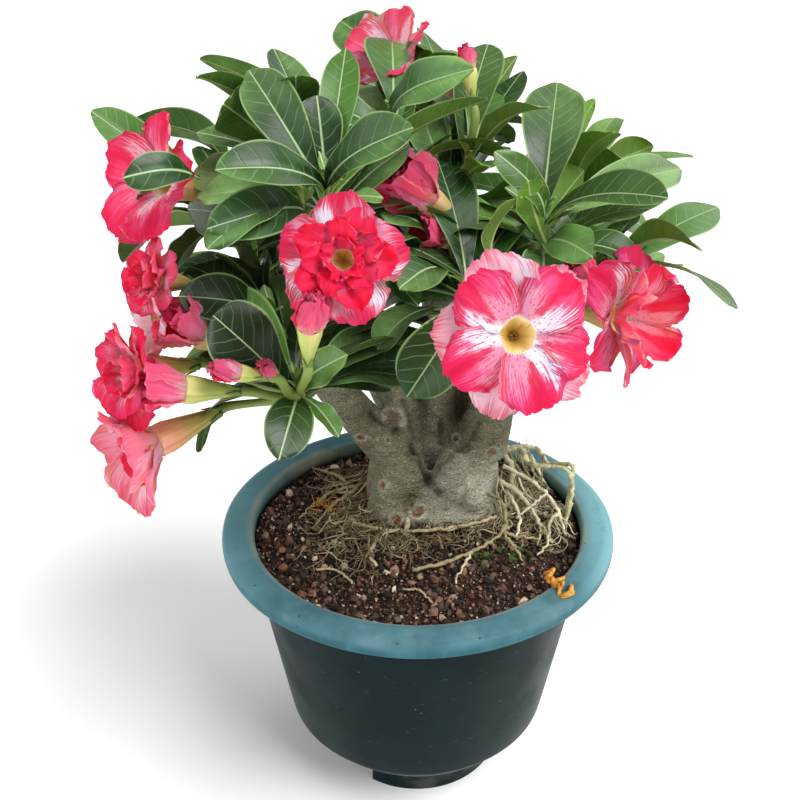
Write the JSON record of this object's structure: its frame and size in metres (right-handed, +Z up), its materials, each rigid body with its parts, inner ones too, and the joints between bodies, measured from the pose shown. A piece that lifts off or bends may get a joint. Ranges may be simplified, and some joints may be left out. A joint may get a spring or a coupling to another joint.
{
  "type": "potted desert rose",
  "caption": "Flowering desert rose with a swollen trunk, leafy branches, double pink flowers and buds, growing in gritty soil in a round plastic pot.",
  "frame": {"origin": "middle of the pot's foot, on the ground", "axes": "+Z up along the pot's axis; -Y is the front, where the largest flowers face; +X is the plant's right seen from the front"},
  "size_m": [0.373, 0.3071, 0.5006],
  "materials": {
    "pot_plastic": "smooth, half matt teal",
    "potting_mix": "rough, granular",
    "bark": "matt, wrinkled grey-olive skin",
    "root": "matt, fibrous",
    "leaf": "waxy",
    "petal": "velvety, pale edge",
    "petal_inner": "velvety crimson",
    "bud": "velvety red over a salmon tube"
  },
  "bodies": {
    "root": {"bud_centre": "bud", "bud_crown": "bud", "bud_open_front": "bud", "bud_open_left": "bud", "bud_open_low": "bud", "bud_right": "bud", "bud_small_left": "bud", "bud_small_right": "bud", "flower_back_high": "petal", "flower_back_left": "petal", "flower_back_right": "petal", "flower_centre_high": "petal", "flower_crown": "petal", "flower_front_left": "petal", "flower_front_left_inner": "petal_inner", "flower_front_right": "petal", "flower_front_right_inner": "petal_inner", "flower_left_high": "petal", "flower_left_low": "petal", "flower_left_low_inner": "petal_inner", "flower_left_lowest": "petal", "flower_left_middle": "petal", "flower_left_pale": "petal", "flower_right": "petal", "flower_right_inner": "petal_inner", "leaf_broad_left": "leaf", "leaf_folded": "leaf", "leaf_long_left": "leaf", "leaf_tall_centre": "leaf", "leaf_tall_right": "leaf", "leaf_upright": "leaf", "leaf_veined": "leaf", "pot": "pot_plastic", "pot_foot": "pot_plastic", "root_arch_right": "root", "root_mat_front": "root", "root_mat_left": "root", "root_mat_right": "root", "shoot_back_far_left": "leaf", "shoot_back_far_right": "leaf", "shoot_back_high_left": "leaf", "shoot_back_left": "leaf", "shoot_back_middle": "leaf", "shoot_back_right": "leaf", "shoot_centre": "leaf", "shoot_centre_high": "leaf", "shoot_crown": "leaf", "shoot_crown_back": "leaf", "shoot_front_left_high": "leaf", "shoot_front_left_low": "leaf", "shoot_left_far": "leaf", "shoot_left_high": "leaf", "shoot_left_low": "leaf", "shoot_left_middle": "leaf", "shoot_right_back": "leaf", "shoot_right_high": "leaf", "shoot_right_low": "leaf", "soil": "potting_mix", "trunk": "bark"}
  },
  "joints": []
}
